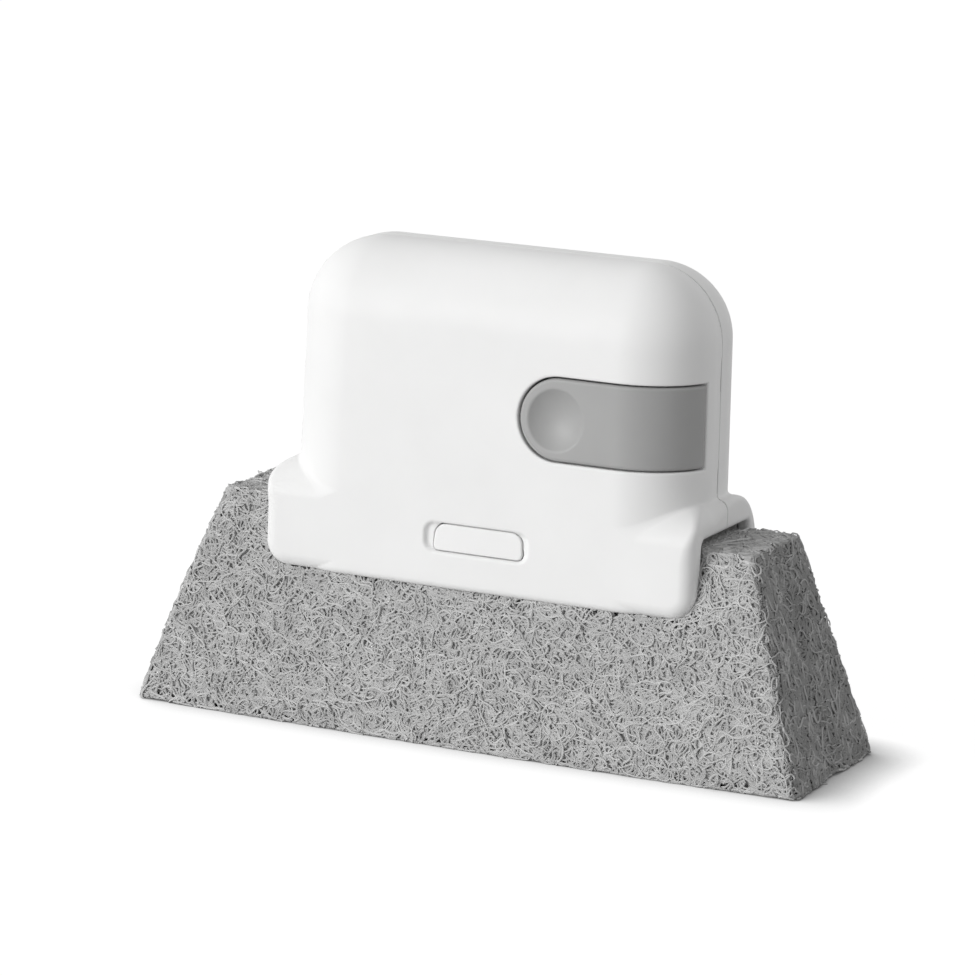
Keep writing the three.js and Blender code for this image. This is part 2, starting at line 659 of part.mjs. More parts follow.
// The handle's outer form hollowed out, before it is split into shells.
const hollowed = (() => {
  const far = FLANGE_LENGTH;
  const pocketX = POCKET_LENGTH / 2;
  const outer = joined(bodyForm(0, FLANGE_TOP - 2 * FLANGE_SHOULDER), flangeForm(), footFillet());
  const cavity = bodyForm(BODY_WALL, ROOF_TOP);
  const pocket = block(-pocketX, pocketX, -POCKET_HALF, POCKET_HALF, 0, ROOF_UNDER);
  const mouth = block(-far, far, -LIP_HALF, LIP_HALF, 0, LIP_ROOF);
  return outer.subtract(joined(cavity, pocket, mouth));
})();
const frontHalf = block(-PAD_LENGTH, PAD_LENGTH, -PAD_DEPTH, -PARTING_GAP / 2, 0, 2 * BODY_TOP);
const rearHalf = block(-PAD_LENGTH, PAD_LENGTH, PARTING_GAP / 2, PAD_DEPTH, 0, 2 * BODY_TOP);

const white = new THREE.MeshStandardMaterial({ color: 0xeeeeed, roughness: 0.42, metalness: 0 });
const grey = new THREE.MeshStandardMaterial({ color: 0xb0b0af, roughness: 0.5, metalness: 0 });
const fibre = new THREE.MeshStandardMaterial({ color: 0x8f8f8e, roughness: 0.95, metalness: 0 });
const holderPlastic = new THREE.MeshStandardMaterial({ color: 0xd9d9d8, roughness: 0.55, metalness: 0 });
const springSteel = new THREE.MeshStandardMaterial({ color: 0xb9bbbd, roughness: 0.3, metalness: 1 });
const screwSteel = new THREE.MeshStandardMaterial({ color: 0x9fa1a3, roughness: 0.35, metalness: 1 });

const brush = new THREE.Group();
brush.name = "window_track_brush";

// One named mesh for each loose piece.
function place(name, made, material) {
  const mesh = made.getMesh();
  const geometry = new THREE.BufferGeometry();
  geometry.setAttribute("position", new THREE.BufferAttribute(new Float32Array(mesh.vertProperties), 3));
  geometry.setIndex(new THREE.BufferAttribute(new Uint32Array(mesh.triVerts), 1));
  const piece = new THREE.Mesh(geometry, material.clone());
  piece.name = name;
  brush.add(piece);
}

place("front_shell", buildFrontShell(hollowed.intersect(frontHalf)), white);
place("rear_shell", buildRearShell(hollowed.intersect(rearHalf)), white);
place("thumb_lever", buildLever(), grey);
const pinEnd = BARREL_HALF + LEVER_GAP * 2 + EYE_HEIGHT - 1;
const pinLow = LEVER_CENTRE_Z - pinEnd + CLEAR;
const pin = post(PIVOT_X, PIVOT_Y, pinLow, LEVER_CENTRE_Z + pinEnd, PIN_RADIUS, PIN_RADIUS, 20);
place("lever_pin", pin, screwSteel);
place("latch_slide", buildSlide(), white);
place("slide_spring_left", buildSpring(TAB_X - SPRING_SPREAD), springSteel);
place("slide_spring_right", buildSpring(TAB_X + SPRING_SPREAD), springSteel);
place("pad_holder", buildHolder(), holderPlastic);
place("leaf_catch", buildLeaf(), springSteel);
place("scouring_pad", buildPad(), fibre);
SCREW_PLACES.forEach(([x, z], i) => place(`shell_screw_${i + 1}`, buildScrew(x, z), screwSteel));

export default brush;
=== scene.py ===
"""Looks for the window track brush: fine moulded shells, lever and tab, and a mat of scouring fibre."""

import math

import bpy
import numpy as np
from mathutils import Matrix, Vector


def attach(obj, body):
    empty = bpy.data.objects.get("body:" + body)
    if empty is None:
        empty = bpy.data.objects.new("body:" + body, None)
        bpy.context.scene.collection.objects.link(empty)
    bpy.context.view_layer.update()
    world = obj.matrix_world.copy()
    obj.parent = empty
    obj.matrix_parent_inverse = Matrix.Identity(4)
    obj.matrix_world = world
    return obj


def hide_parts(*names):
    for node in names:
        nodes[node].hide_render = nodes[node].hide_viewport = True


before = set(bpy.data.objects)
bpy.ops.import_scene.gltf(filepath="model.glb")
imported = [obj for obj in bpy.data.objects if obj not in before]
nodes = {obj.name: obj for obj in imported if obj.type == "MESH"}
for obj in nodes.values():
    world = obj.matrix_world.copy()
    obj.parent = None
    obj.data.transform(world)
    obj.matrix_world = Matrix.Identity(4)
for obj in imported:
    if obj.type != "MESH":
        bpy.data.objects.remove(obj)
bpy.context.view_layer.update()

# Sizes in millimetres. The flange's arch and top follow the photograph more closely than the source does.
PAD_LENGTH, PAD_TOP_LENGTH = 130.5, 103.3
PAD_DEPTH, PAD_TOP_DEPTH = 38.6, 21.8
PAD_HEIGHT = 41.2
NECK_HALF, NECK_FLARE, NECK_BULGE = 10.6, 0.9, 0.9
BODY_X, BODY_Y, BODY_TOP, BODY_ROUND, BODY_WALL = 39.75, 15.8, 88.2, 13.5, 2.3
DRAFT = math.tan(math.radians(1.0))
FLANGE_X, FLANGE_LOW, FLANGE_HIGH, FLANGE_ARCH = 42.1, 27.8, 47.4, 12.0
ROOF_UNDER, ROOF_TOP = 43.5, 45.8
LEVER_Z, LEVER_HALF, LEVER_TIP, LEVER_END, LEVER_WALL = 61.0, 7.4, 8.1, -5.5, 2.0
LEVER_GAP, LEVER_TIP_GAP = 0.27, 0.4
DIMPLE_X, DISH_HALF, DISH_DEEP = 15.0, 5.6, 1.8
PIVOT = (31.5, -11.0)
TAB_X, TAB_Z, TAB_HALF_X, TAB_HALF_Z = 0.75, 37.2, 8.8, 2.45
TAB_TAPER, TAB_FACE, TAB_LEAN = 0.05, -15.5, 0.3
SCOOP_X, SCOOP_Z, SCOOP_CORNER, SCOOP_DEEP = 10.0, 2.55, 1.8, 0.75
SCREWS = [(-28, 77.8), (25, 77.8), (-29, 50.8), (23.5, 50.4)]
SCREW_BOSS, SCREW_HEAD, SCREW_HOLE = 4.4, 2.9, 1.6
PARTING, PARTING_ROUND = 0.07, 0.12
MOUTH_HALF, POCKET_HALF, POCKET_WALL, END_WALL = 11.2, 12.8, 0.75, 2.3
PAD_CROWN, PAD_ROUND, CORE_DEEP = 1.1, 1.5, 0.55


def length(*parts):
    return np.sqrt(sum(p * p for p in parts))


def meet(a, b, r):
    """Common part of two fields, with the edge rounded to radius r."""
    return np.minimum(np.maximum(a, b), -r) + length(np.maximum(a + r, 0), np.maximum(b + r, 0))


def join(a, b, r):
    """Both fields together, with the inner corner filled to radius r."""
    return np.maximum(np.minimum(a, b), r) - length(np.maximum(r - a, 0), np.maximum(r - b, 0))


def cut(a, b, r):
    """Field a less field b, with the edge rounded to radius r."""
    return meet(a, -b, r)


def slab2(x, y, hx, hy, r):
    """Rounded rectangle about the origin."""
    qx, qy = np.abs(x) - (hx - r), np.abs(y) - (hy - r)
    return length(np.maximum(qx, 0), np.maximum(qy, 0)) + np.minimum(np.maximum(qx, qy), 0) - r


def box3(x, y, z, low, high):
    """Plain block between two corners."""
    q = [np.abs(v - (a + b) / 2) - (b - a) / 2 for v, a, b in zip((x, y, z), low, high)]
    outside = length(*[np.maximum(v, 0) for v in q])
    return outside + np.minimum(np.maximum(np.maximum(q[0], q[1]), q[2]), 0)


def body_field(x, y, z, inset):
    r = BODY_ROUND - inset
    qx = np.abs(x) + DRAFT * (z - LEVER_Z) - (BODY_X - BODY_ROUND)
    qy = np.abs(y) - (BODY_Y - BODY_ROUND)
    qz = z - (BODY_TOP - BODY_ROUND)
    far = length(np.maximum(qx, 0), np.maximum(qy, 0), np.maximum(qz, 0))
    return far + np.minimum(np.maximum(np.maximum(qx, qy), qz), 0) - r


def flange_arch(y, z):
    """The flange's end view: round at the rear, lower and flatter in front."""
    front = ease((4 - y) / 8)
    return meet(np.abs(y) - BODY_Y, (z - FLANGE_HIGH) * (1 + 0.6 * front), FLANGE_ARCH - 1.5 * front)


def flange_field(x, y, z):
    mid, half = (FLANGE_LOW + FLANGE_HIGH) / 2, (FLANGE_HIGH - FLANGE_LOW) / 2
    front = ease((4 - y) / 10)
    ends = slab2(x, z - mid, FLANGE_X, half, np.where(z > mid, 1.5 + 2.5 * front, 4.5))
    edge = 1.6 + 1.1 * front
    edge = edge + (1.0 - edge) * ease((z - 38) / 8)
    return meet(ends, flange_arch(y, z), edge)


def handle_field(x, y, z):
    upper = meet(body_field(x, y, z, 0.0), FLANGE_LOW - z, 1.4)
    fillet = 0.001 + 0.8 * ease((z - 36) / 6)
    outer = np.maximum(join(upper, flange_field(x, y, z), fillet), np.abs(y) - BODY_Y)
    cavity = np.maximum(body_field(x, y, z, BODY_WALL), ROOF_TOP - z)
    pocket = np.maximum(np.maximum(np.abs(x) - FLANGE_X + END_WALL, np.abs(y) - POCKET_HALF), z - ROOF_UNDER)
    wall = POCKET_WALL + ease((np.abs(x) - 34) / 4) * ease((z - 36) / 5)
    pocket = np.maximum(pocket, flange_arch(y, z) + wall)
    mouth = slab2(y, z, MOUTH_HALF, PAD_HEIGHT + 0.5, 1.2)
    return cut(cut(np.maximum(outer, -cavity), mouth, 1.0), pocket, 0.2)


def lever_outline(x, z, gap, tip_gap):
    """Front view of the lever: a strap with a round end."""
    half = LEVER_HALF + gap
    from_centre = x - (LEVER_TIP - tip_gap + half)
    return length(np.minimum(from_centre, 0), z - LEVER_Z) - half


def tab_outline(x, z, gap):
    """Front view of the tab: narrower towards its top."""
    share = 0.5 + (z - TAB_Z) / (2 * TAB_HALF_Z)
    corner = 1.1 + 0.9 * ease(share) + gap
    return slab2((x - TAB_X) / (1 - TAB_TAPER * share), z - TAB_Z, TAB_HALF_X + gap, TAB_HALF_Z + gap, corner)


def front_field(x, y, z):
    shell = meet(handle_field(x, y, z), y + PARTING, PARTING_ROUND)
    opening = np.maximum(lever_outline(x, z, LEVER_GAP, LEVER_TIP_GAP), y - (LEVER_END + LEVER_GAP))
    shell = cut(shell, opening, 0.35)
    scoop = slab2(x - TAB_X + 0.25, z - TAB_Z, SCOOP_X, SCOOP_Z, SCOOP_CORNER)
    scoop = meet(scoop, y + BODY_Y - SCOOP_DEEP, 0.73)
    hole = tab_outline(x, z - 0.05, 0.17)
    shell = cut(cut(shell, scoop, 0.6), np.maximum(hole, y), 0.15)
    groove = box3(x, y, z, (TAB_X - 10, -13.5, 32.4), (TAB_X + 10, -9.9, 46.8))
    sill = box3(x, y, z, (TAB_X - 5.8, -14.0, 32.4), (TAB_X + 5.8, -9.9, 34.0))
    return np.maximum(np.maximum(shell, -groove), -sill)


def rear_field(x, y, z):
    shell = meet(handle_field(x, y, z), PARTING - y, PARTING_ROUND)
    for sx, sz in SCREWS:
        reach = length(x - sx, z - sz)
        boss = np.maximum(np.maximum(reach - SCREW_BOSS, 0.15 - y), body_field(x, y, z, 1.0))
        shell = np.minimum(shell, boss)
        shell = cut(shell, np.maximum(reach - SCREW_HEAD, 9.5 - y), 0.4)
        shell = np.maximum(shell, -(reach - SCREW_HOLE))
    return shell


def lever_field(x, y, z):
    plan = slab2(np.abs(x) + DRAFT * (z - LEVER_Z), y, BODY_X, BODY_Y, BODY_ROUND)
    strap = meet(lever_outline(x, z, 0.0, 0.0), y - LEVER_END, 0.3)
    strap = np.maximum(meet(plan, strap, 0.55), -(plan + LEVER_WALL))
    backing = np.maximum(length(x - DIMPLE_X, z - LEVER_Z) - 3.0, np.abs(y + 13.9) - 0.38)
    strap = np.minimum(strap, backing)
    ball = (DISH_HALF**2 + DISH_DEEP**2) / (2 * DISH_DEEP)
    dish = length((x - DIMPLE_X) * 1.05, y + BODY_Y + ball - DISH_DEEP, z - LEVER_Z + 0.1) - ball
    strap = cut(strap, dish, 0.14)
    reach = length(x - PIVOT[0], y - PIVOT[1])
    barrel = np.maximum(reach - 2.4, np.abs(z - LEVER_Z) - 7.05)
    nub = box3(x, y, z, (11.0, -14.3, 56.0), (13.0, -13.5, 60.0))
    return np.maximum(np.minimum(np.minimum(strap, barrel), nub), -(reach - 1.3))


def slide_field(x, y, z):
    tab = tab_outline(x, z, 0.0)
    lean = TAB_FACE + (z - TAB_Z + TAB_HALF_Z) * TAB_LEAN / (2 * TAB_HALF_Z)
    tab = meet(tab, np.maximum((lean - y) * 0.993, y + 12.5), 0.3)
    web = box3(x, y, z, (TAB_X - 9.7, -13.2, 34.15), (TAB_X + 9.7, -11.8, 52.8))
    arm = box3(x, y, z, (3.0, -13.2, 50.8), (16.0, -11.8, 61.8))
    whole = np.minimum(np.minimum(tab, web), arm)
    for side in (-7.0, 7.0):
        peg = np.maximum(length(x - TAB_X - side, z - 49.4) - 1.3, np.abs(y + 11.5) - 1.3)
        whole = np.minimum(whole, peg)
    return whole


def ease(t):
    t = np.clip(t, 0, 1)
    return t * t * (3 - 2 * t)


def pad_field(x, y, z, shrink=0.0, pinch=1.0):
    """The fibre block: tapered on four sides, pinched where the flange grips it, lifted at the corners."""
    share = z / PAD_HEIGHT
    taper = PAD_DEPTH / 2 + (PAD_TOP_DEPTH - PAD_DEPTH) / 2 * share
    taper = taper + PAD_CROWN * np.clip(1 - (x / 65) ** 2, 0, 1) * np.clip(1 - share, 0, 1)
    grip = FLANGE_LOW - 0.3
    high = ease((z - grip + NECK_BULGE) / NECK_BULGE)
    along = 1 - ease((np.abs(x) - FLANGE_X - 0.3) / NECK_FLARE)
    half = taper + (np.minimum(taper, NECK_HALF) - taper) * high * along * pinch
    reach = PAD_LENGTH / 2 + (PAD_TOP_LENGTH - PAD_LENGTH) / 2 * share
    reach = reach - 0.7 * np.exp(-(((y + 1.5) / 3.5) ** 2))
    reach = reach + (x < 0) * (0.4 + 2.6 * np.clip(share * (1 - share), 0, 1))
    side = meet((np.abs(y) - half) * 0.979, (np.abs(x) - reach) * 0.95, PAD_ROUND)
    foot = 0.15 * ease((np.abs(x) - 38) / 27) - z
    return meet(side, np.maximum(z - PAD_HEIGHT + 0.5, foot), 0.8) + shrink


def mat_field(x, y, z):
    """The block that the strands lie on, which runs on under the flange's lips."""
    return np.maximum(pad_field(x, y, z, 0.0, 0.0), z - PAD_HEIGHT + 1.0)


def slope(field, p, h=0.02):
    """Field values and unit normals at points p."""
    x, y, z = p.T
    value = field(x, y, z)
    steps = [(h, 0, 0), (0, h, 0), (0, 0, h)]
    g = np.stack([field(x + a, y + b, z + c) - field(x - a, y - b, z - c) for a, b, c in steps], 1)
    size = np.maximum(np.linalg.norm(g, axis=1, keepdims=True), 1e-9)
    return value, g / size, size[:, 0] / (2 * h)


def onto(field, p, height=0.0, rounds=3, most=1.0):
    """Moves points to where the field has the given height."""
    for _ in range(rounds):
        value, normal, rate = slope(field, p)
        move = np.clip((value - height) / np.maximum(rate, 0.3), -most, most)
        p = p - normal * move[:, None]
    return p


def skin(field, low, high, step):
    """A closed quad mesh on the zero level of a field, by surface nets."""
    axes = [np.arange(a - 2.5 * step, b + 3 * step, step) for a, b in zip(low, high)]
    grid = np.meshgrid(*axes, indexing="ij")
    d = field(*grid).astype(np.float32)
    shape = np.array(d.shape)
    stride = np.array([shape[1] * shape[2], shape[2], 1])
    sums, counts, quads = [], [], []
    for k in range(3):
        a = np.take(d, np.arange(shape[k] - 1), axis=k)
        b = np.take(d, np.arange(1, shape[k]), axis=k)
        at = np.argwhere((a < 0) != (b < 0))
        va, vb = a[tuple(at.T)], b[tuple(at.T)]
        point = at.astype(float)
        point[:, k] += va / (va - vb)
        i, j = (k + 1) % 3, (k + 2) % 3
        cell = at @ stride
        ring = np.stack([cell, cell - stride[i], cell - stride[i] - stride[j], cell - stride[j]], 1)
        ring[va >= 0] = ring[va >= 0][:, ::-1]
        quads.append(ring)
        sums.append(np.repeat(point, 4, axis=0))
        counts.append(ring.ravel())
    cells, owner = np.unique(np.concatenate(counts), return_inverse=True)
    points = np.concatenate(sums)
    total = np.bincount(owner, minlength=len(cells))
    mean = np.stack([np.bincount(owner, points[:, k], len(cells)) / total for k in range(3)], 1)
    verts = mean * step + np.array([axis[0] for axis in axes])
    faces = np.searchsorted(cells, np.concatenate(quads))
    return onto(field, verts), faces


def mesh_object(name, verts, faces):
    mesh = bpy.data.meshes.new(name)
    mesh.from_pydata((verts / 1000).tolist(), [], faces.tolist())
    mesh.validate()
    obj = bpy.data.objects.new(name, mesh)
    bpy.context.scene.collection.objects.link(obj)
    return obj


def moulded(name, node, body, field, low, high, step, material):
    """A smooth moulded piece in place of a CAD node, with its flats merged and exact normals."""
    verts, faces = skin(field, low, high, step)
    obj = mesh_object(name, verts, faces)
    mod = obj.modifiers.new("flats", "DECIMATE")
    mod.decimate_type = "DISSOLVE"
    mod.angle_limit = math.radians(0.25)
    depsgraph = bpy.context.evaluated_depsgraph_get()
    lean = bpy.data.meshes.new_from_object(obj.evaluated_get(depsgraph))
    obj.modifiers.clear()
    obj.data = lean
    lean.name = name
    co = np.zeros(len(lean.vertices) * 3, np.float32)
    lean.vertices.foreach_get("co", co)
    normal = slope(field, co.reshape(-1, 3).astype(float) * 1000, 0.05)[1]
    lean.polygons.foreach_set("use_smooth", np.ones(len(lean.polygons), bool))
    lean.normals_split_custom_set_from_vertices(normal.tolist())
    obj.data.materials.clear()
    obj.data.materials.append(material)
    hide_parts(node)
    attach(obj, body)
    return obj


class Look:
    """A node material with a few shorthands."""

    def __init__(self, name):
        self.material = bpy.data.materials.new(name)
        self.material.use_nodes = True
        self.tree = self.material.node_tree
        self.shader = self.tree.nodes["Principled BSDF"]
        self.place = self.add("ShaderNodeTexCoord").outputs["Object"]

    def add(self, kind, **values):
        node = self.tree.nodes.new(kind)
        for key, value in values.items():
            if key in node.inputs:
                node.inputs[key].default_value = value
            else:
                setattr(node, key, value)
        return node

    def link(self, a, b):
        self.tree.links.new(a, b)

    def noise(self, scale, detail=3.0, rough=0.5):
        node = self.add("ShaderNodeTexNoise", Scale=scale, Detail=detail, Roughness=rough)
        self.link(self.place, node.inputs["Vector"])
        return node.outputs["Fac"]

    def ramp(self, value, low, high, to_low, to_high):
        node = self.add("ShaderNodeMapRange")
        node.inputs["From Min"].default_value = low
        node.inputs["From Max"].default_value = high
        node.inputs["To Min"].default_value = to_low
        node.inputs["To Max"].default_value = to_high
        self.link(value, node.inputs["Value"])
        return node.outputs["Result"]

    def mix(self, factor, a, b):
        node = self.add("ShaderNodeMix", data_type="RGBA")
        node.inputs[6].default_value = (*a, 1)
        node.inputs[7].default_value = (*b, 1)
        self.link(factor, node.inputs[0])
        return node.outputs[2]

    def bump(self, height, strength, distance):
        node = self.add("ShaderNodeBump", Strength=strength, Distance=distance)
        self.link(height, node.inputs["Height"])
        self.link(node.outputs["Normal"], self.shader.inputs["Normal"])


def plastic(name, dark, pale, rough, grain, shine=0.5):
    """Moulded plastic: faint mottling, a fine spark-eroded grain and uneven sheen."""
    look = Look(name)
    tint = look.ramp(look.noise(55, 4), 0.35, 0.65, 0, 1)
    look.link(look.mix(tint, dark, pale), look.shader.inputs["Base Color"])
    sheen = look.ramp(look.noise(160, 3), 0.3, 0.7, rough - 0.05, rough + 0.05)
    look.link(sheen, look.shader.inputs["Roughness"])
    look.shader.inputs["Specular IOR Level"].default_value = shine
    look.bump(look.noise(2600, 2), grain, 0.00004)
    return look.material


def metal(name, colour, rough):
    look = Look(name)
    tint = look.ramp(look.noise(900, 4), 0.3, 0.7, 0, 1)
    darker = tuple(c * 0.85 for c in colour)
    look.link(look.mix(tint, darker, colour), look.shader.inputs["Base Color"])
    look.shader.inputs["Metallic"].default_value = 1.0
    wear = look.ramp(look.noise(1500, 3), 0.3, 0.7, rough - 0.06, rough + 0.08)
    look.link(wear, look.shader.inputs["Roughness"])
    return look.material


def fibre(name, dark, pale, scale):
    """Crimped nylon strand: each stretch a little lighter or darker than the next."""
    look = Look(name)
    tint = look.ramp(look.noise(scale, 3, 0.6), 0.32, 0.68, 0, 1)
    look.link(look.mix(tint, dark, pale), look.shader.inputs["Base Color"])
    look.shader.inputs["Specular IOR Level"].default_value = 0.12
    rough = look.ramp(look.noise(scale * 2, 2), 0.3, 0.7, 0.55, 0.8)
    look.link(rough, look.shader.inputs["Roughness"])
    look.bump(look.noise(scale * 3, 2), 0.2, 0.0002)
    return look.material


def felt(name, dark, pale):
    """The mat's depth: a web of strands that run into each other."""
    look = Look(name)
    wander = look.add("ShaderNodeTexNoise", Scale=420.0, Detail=2.0)
    look.link(look.place, wander.inputs["Vector"])
    shift = look.add("ShaderNodeVectorMath", operation="SCALE", Scale=0.0016)
    look.link(wander.outputs["Color"], shift.inputs[0])
    bent = look.add("ShaderNodeVectorMath", operation="ADD")
    look.link(look.place, bent.inputs[0])
    look.link(shift.outputs["Vector"], bent.inputs[1])
    web = look.add("ShaderNodeTexVoronoi", feature="DISTANCE_TO_EDGE", Scale=900.0)
    look.link(bent.outputs["Vector"], web.inputs["Vector"])
    line = look.ramp(web.outputs["Distance"], 0.03, 0.22, 1, 0)
    look.link(look.mix(line, dark, pale), look.shader.inputs["Base Color"])
    look.shader.inputs["Specular IOR Level"].default_value = 0.25
    look.link(look.ramp(look.noise(700, 2), 0.3, 0.7, 0.55, 0.75), look.shader.inputs["Roughness"])
    look.bump(line, 0.7, 0.0003)
    return look.material


white = plastic("white_plastic", (0.79, 0.79, 0.787), (0.815, 0.815, 0.812), 0.52, 0.12, 0.2)
grey = plastic("grey_plastic", (0.328, 0.328, 0.326), (0.348, 0.348, 0.346), 0.55, 0.2, 0.45)
holder_look = plastic("holder_plastic", (0.56, 0.56, 0.555), (0.6, 0.6, 0.595), 0.5, 0.15)
steel = metal("spring_steel", (0.62, 0.63, 0.64), 0.3)
plated = metal("plated_steel", (0.52, 0.53, 0.54), 0.34)
# The strand colours darken from the pale top strands down to the deep layers: painted shade for the mat's
# depth.
pale_strand = fibre("fibre_pale", (0.53, 0.53, 0.527), (0.62, 0.62, 0.617), 260)
mid_strand = fibre("fibre_mid", (0.44, 0.44, 0.438), (0.54, 0.54, 0.537), 260)
deep_shaded_strand = fibre("fibre_deep_shaded", (0.41, 0.41, 0.408), (0.49, 0.49, 0.488), 260)
# Darker looks for the pad's two ends: partly cut fibre ends, partly painted shade.
pale_cut_and_shade = fibre("fibre_cut_and_shade_pale", (0.38, 0.38, 0.378), (0.52, 0.52, 0.517), 260)
deep_cut_and_shade = fibre("fibre_cut_and_shade_deep", (0.27, 0.27, 0.268), (0.37, 0.37, 0.368), 260)
core_look = felt("fibre_core", (0.42, 0.42, 0.418), (0.58, 0.58, 0.577))

shell_low, shell_high = (-FLANGE_X, -BODY_Y, FLANGE_LOW), (FLANGE_X, 0.0, BODY_TOP)
rear_low, rear_high = (-FLANGE_X, 0.0, FLANGE_LOW), (FLANGE_X, BODY_Y, BODY_TOP)
step = 0.32
front = moulded("front_case", "front_shell", "handle", front_field, shell_low, shell_high, step, white)
rear = moulded("rear_case", "rear_shell", "handle", rear_field, rear_low, rear_high, step, white)
lever = moulded(
    "thumb_strap", "thumb_lever", "lever", lever_field, (7.5, -16.2, 52.8), (40.5, -5.5, 69.8), 0.24, grey
)
tab = moulded(
    "latch_tab", "latch_slide", "slide", slide_field, (-9.5, -15.6, 33.6), (16.5, -9.8, 62.3), 0.24, white
)

for name, look in [
    ("pad_holder", holder_look),
    ("leaf_catch", steel),
    ("slide_spring_left", steel),
    ("slide_spring_right", steel),
    ("lever_pin", plated),
    *[(f"shell_screw_{i}", plated) for i in (1, 2, 3, 4)],
]:
    nodes[name].data.materials.clear()
    nodes[name].data.materials.append(look)


def hidden_in_channel(p):
    """True where the flange covers the pad."""
    return slab2(p[:, 0], p[:, 2] - FLANGE_LOW - 12, FLANGE_X, 12, 4.5) < -0.08


def surface_points(verts, faces, count, rng):
    """Random points spread evenly over a quad mesh."""
    a, b, c, d = (verts[faces[:, k]] for k in range(4))
    area = np.linalg.norm(np.cross(c - a, d - b), axis=1)
    share = np.cumsum(area) / area.sum()
    pick = np.searchsorted(share, (np.arange(count) + rng.random(count)) / count).clip(0, len(faces) - 1)
    u, v = rng.random((2, count, 1))
    return (a[pick] * (1 - u) + b[pick] * u) * (1 - v) + (d[pick] * (1 - u) + c[pick] * u) * v


BEND, SWING, WAVE, UNEVEN = 0.42, (0.3, 0.9), (3.5, 8.0), 0.06
FLATTEN = 0.5


def strands(name, looks, start, rng, points, step, radius, sink, lift, tip=0.0):
    """Curly fibres that lie in the pad's surface and dip in and out of it."""
    count = len(start)
    normal = slope(mat_field, start)[1]
    along = np.cross(normal, rng.normal(size=(count, 3)))
    along /= np.linalg.norm(along, axis=1, keepdims=True)
    across = np.cross(normal, along)
    s = np.arange(points)[None, :] * step
    phase = rng.uniform(0, 2 * np.pi, (count, 4))
    bend = rng.normal(0, BEND, (count, 1))
    swing = rng.uniform(*SWING, (count, 1))
    wave = rng.uniform(*WAVE, (count, 1))
    heading = phase[:, :1] + bend * s + swing * np.sin(2 * np.pi * s / wave + phase[:, 1:2])
    u = np.cumsum(np.cos(heading), axis=1) * step
    v = np.cumsum(np.sin(heading), axis=1) * step
    u -= u.mean(1, keepdims=True)
    v -= v.mean(1, keepdims=True)
    height = 0.5 + 0.5 * np.sin(2 * np.pi * s / (wave * 1.3) + phase[:, 2:3])
    height = sink + (lift - sink) * height + rng.normal(0, UNEVEN, (count, 1))
    height = height + tip * rng.random((count, 1)) * (np.arange(points)[None, :] / points) ** 3
    line = start[:, None] + along[:, None] * u[..., None] + across[:, None] * v[..., None]
    flat = onto(mat_field, line.reshape(-1, 3), rounds=4, most=2.0)
    out = slope(mat_field, flat)[1]
    flat = flat + out * height.reshape(-1, 1)
    flat[:, 2] = np.maximum(flat[:, 2], radius)
    shown = ~hidden_in_channel(flat).reshape(count, points)
    on_end = np.abs(normal[:, 0]) > 0.6
    thick = radius * rng.uniform(0.8, 1.25, count)
    shape = (count, points, 3)
    return tubes(name, looks, flat.reshape(shape), out.reshape(shape), thick, shown, on_end)


def tubes(name, looks, line, out, radius, shown, on_end):
    """Three-sided tubes along many lines, left out where a line isn't shown.

    Their normals lean towards the pad's own, which evens out the light on each strand.
    """
    count, points = line.shape[:2]
    run = np.gradient(line, axis=1)
    run /= np.maximum(np.linalg.norm(run, axis=2, keepdims=True), 1e-9)
    side = np.cross(run, out)
    side /= np.maximum(np.linalg.norm(side, axis=2, keepdims=True), 1e-9)
    up = np.cross(side, run)
    rings, facing = [], []
    for k in range(3):
        a = 2 * np.pi * k / 3 + np.pi / 2
        outwards = side * np.cos(a) + up * np.sin(a)
        rings.append(line + outwards * radius[:, None, None])
        facing.append(outwards * (1 - FLATTEN) + out * FLATTEN)
    verts = np.stack(rings, 2).reshape(-1, 3)
    facing = np.stack(facing, 2).reshape(-1, 3)
    facing /= np.maximum(np.linalg.norm(facing, axis=1, keepdims=True), 1e-9)
    keep = (shown[:, 1:] & shown[:, :-1]).reshape(-1)
    base = (np.arange(count)[:, None] * points + np.arange(points - 1)[None, :]).reshape(-1)[keep] * 3
    # Strands on the pad's two ends take the darker second look: partly cut fibre ends, partly painted shade.
    cut_and_shaded_end = np.repeat(on_end, points - 1)[keep]
    faces = []
    for k in range(3):
        j = (k + 1) % 3
        faces.append(np.stack([base + k, base + 3 + k, base + 3 + j, base + j], 1))
    used, faces = np.unique(np.concatenate(faces), return_inverse=True)
    obj = mesh_object(name, verts[used], faces.reshape(-1, 4))
    obj.data.polygons.foreach_set("use_smooth", np.ones(len(obj.data.polygons), bool))
    for look in looks:
        obj.data.materials.append(look)
    obj.data.polygons.foreach_set("material_index", np.tile(cut_and_shaded_end, 3).astype(np.int32))
    obj.data.normals_split_custom_set_from_vertices(facing[used].tolist())
    return obj


rng = np.random.default_rng(7)
pad_low = (-PAD_LENGTH / 2, -PAD_DEPTH / 2, 0.0)
pad_high = (PAD_LENGTH / 2, PAD_DEPTH / 2, PAD_HEIGHT)
core_verts, core_faces = skin(lambda x, y, z: pad_field(x, y, z, CORE_DEEP), pad_low, pad_high, 1.1)
core = mesh_object("pad_core", core_verts, core_faces)
core.data.polygons.foreach_set("use_smooth", np.ones(len(core.data.polygons), bool))
core.data.materials.append(core_look)
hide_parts("scouring_pad")
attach(core, "pad_unit")

# Looks on the sides and on the two ends. The end looks are darker, partly for the cut fibre ends and partly
# as painted shade.
DEEP, MID, PALE = (deep_shaded_strand, deep_cut_and_shade), (mid_strand, deep_cut_and_shade), (pale_strand, pale_cut_and_shade)
